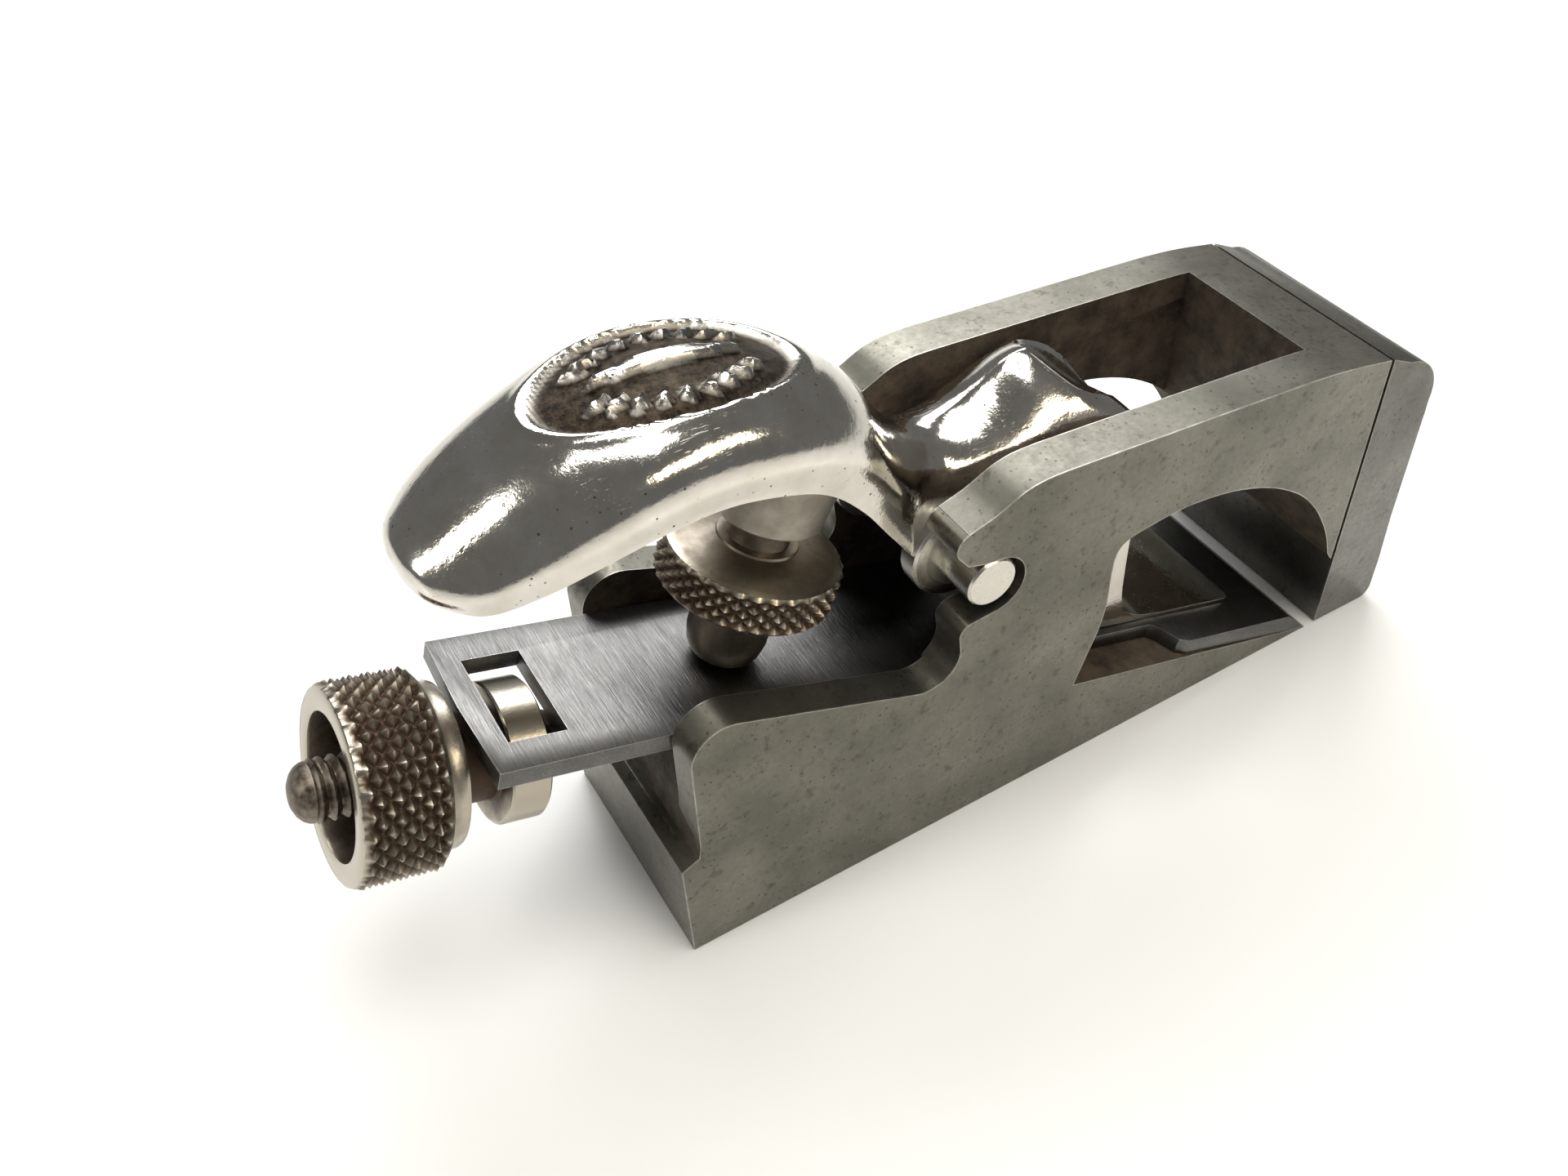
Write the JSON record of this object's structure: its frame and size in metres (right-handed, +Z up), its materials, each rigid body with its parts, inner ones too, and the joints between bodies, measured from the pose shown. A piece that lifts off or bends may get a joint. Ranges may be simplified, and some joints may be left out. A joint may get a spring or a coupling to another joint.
{
  "type": "hand plane",
  "caption": "Small bull-nose rabbet plane with an open-sided iron body, detachable nose, low-angle T-shaped cutter, palm-shaped lever cap and knurled depth adjuster.",
  "frame": {"origin": "middle of the sole, on the sole's plane", "axes": "+X towards the nose, +Y across the plane to its left side, +Z up from the sole"},
  "size_m": [0.1321, 0.0286, 0.0665],
  "materials": {
    "body_iron": "ground satin with fine pits and worn bright arrises",
    "nose_iron": "ground satin",
    "shim_steel": "dull, slightly rusted",
    "screw_steel": "dull machined",
    "cutter_steel": "fine transverse grinding lines",
    "cap_nickel": "polished nickel plate with tiny pits and fine scratches",
    "pin_steel": "turned, worn nickel",
    "knurled_steel": "knurled, brown in the grooves and bright on the tips",
    "stud_steel": "threaded, dark brown patina"
  },
  "bodies": {
    "plane_body": {"body": "body_iron", "adjuster_stud": "stud_steel"},
    "nose": {"nose_piece": "nose_iron", "mouth_shim": "shim_steel"},
    "nose_fastener": {"nose_screw": "screw_steel"},
    "blade": {"cutter": "cutter_steel"},
    "depth_nut": {"adjusting_nut": "knurled_steel"},
    "cap": {"lever_cap": "cap_nickel", "trunnion_pin": "pin_steel"},
    "cap_screw": {"thumbscrew": "knurled_steel"}
  },
  "joints": [
    {"name": "nose_slide", "type": "slide", "parent": "plane_body", "child": "nose", "axis": [1, 0, 0], "range_m": [0, 0.007]},
    {"name": "nose_screw_turn", "type": "hinge", "parent": "nose", "child": "nose_fastener", "pos_m": [0.0483, 0, 0.0288], "axis": [1, 0, 0], "range_deg": [0, 2017]},
    {"name": "cutter_slide", "type": "slide", "parent": "plane_body", "child": "blade", "axis": [0.9511, 0, -0.309], "range_m": [-0.003, 0.0004]},
    {"name": "nut_turn", "type": "hinge", "parent": "blade", "child": "depth_nut", "pos_m": [-0.07091, 0, 0.03034], "axis": [0.9511, 0, -0.309], "range_deg": [-865, 116]},
    {"name": "cap_tilt", "type": "hinge", "parent": "plane_body", "child": "cap", "pos_m": [-0.0128, 0, 0.03595], "axis": [0, -1, 0], "range_deg": [0, 3.5]},
    {"name": "thumbscrew_travel", "type": "slide", "parent": "cap", "child": "cap_screw", "axis": [0.3665, 0, 0.9304], "range_m": [0, 0.0018]}
  ],
  "couplings": [
    {"joint": "nose_screw_turn", "follows": "nose_slide", "rad_per_m": 5026.6},
    {"joint": "nut_turn", "follows": "cutter_slide", "rad_per_m": 5026.6},
    {"joint": "thumbscrew_travel", "follows": "cap_tilt", "m_per_rad": 0.028}
  ]
}
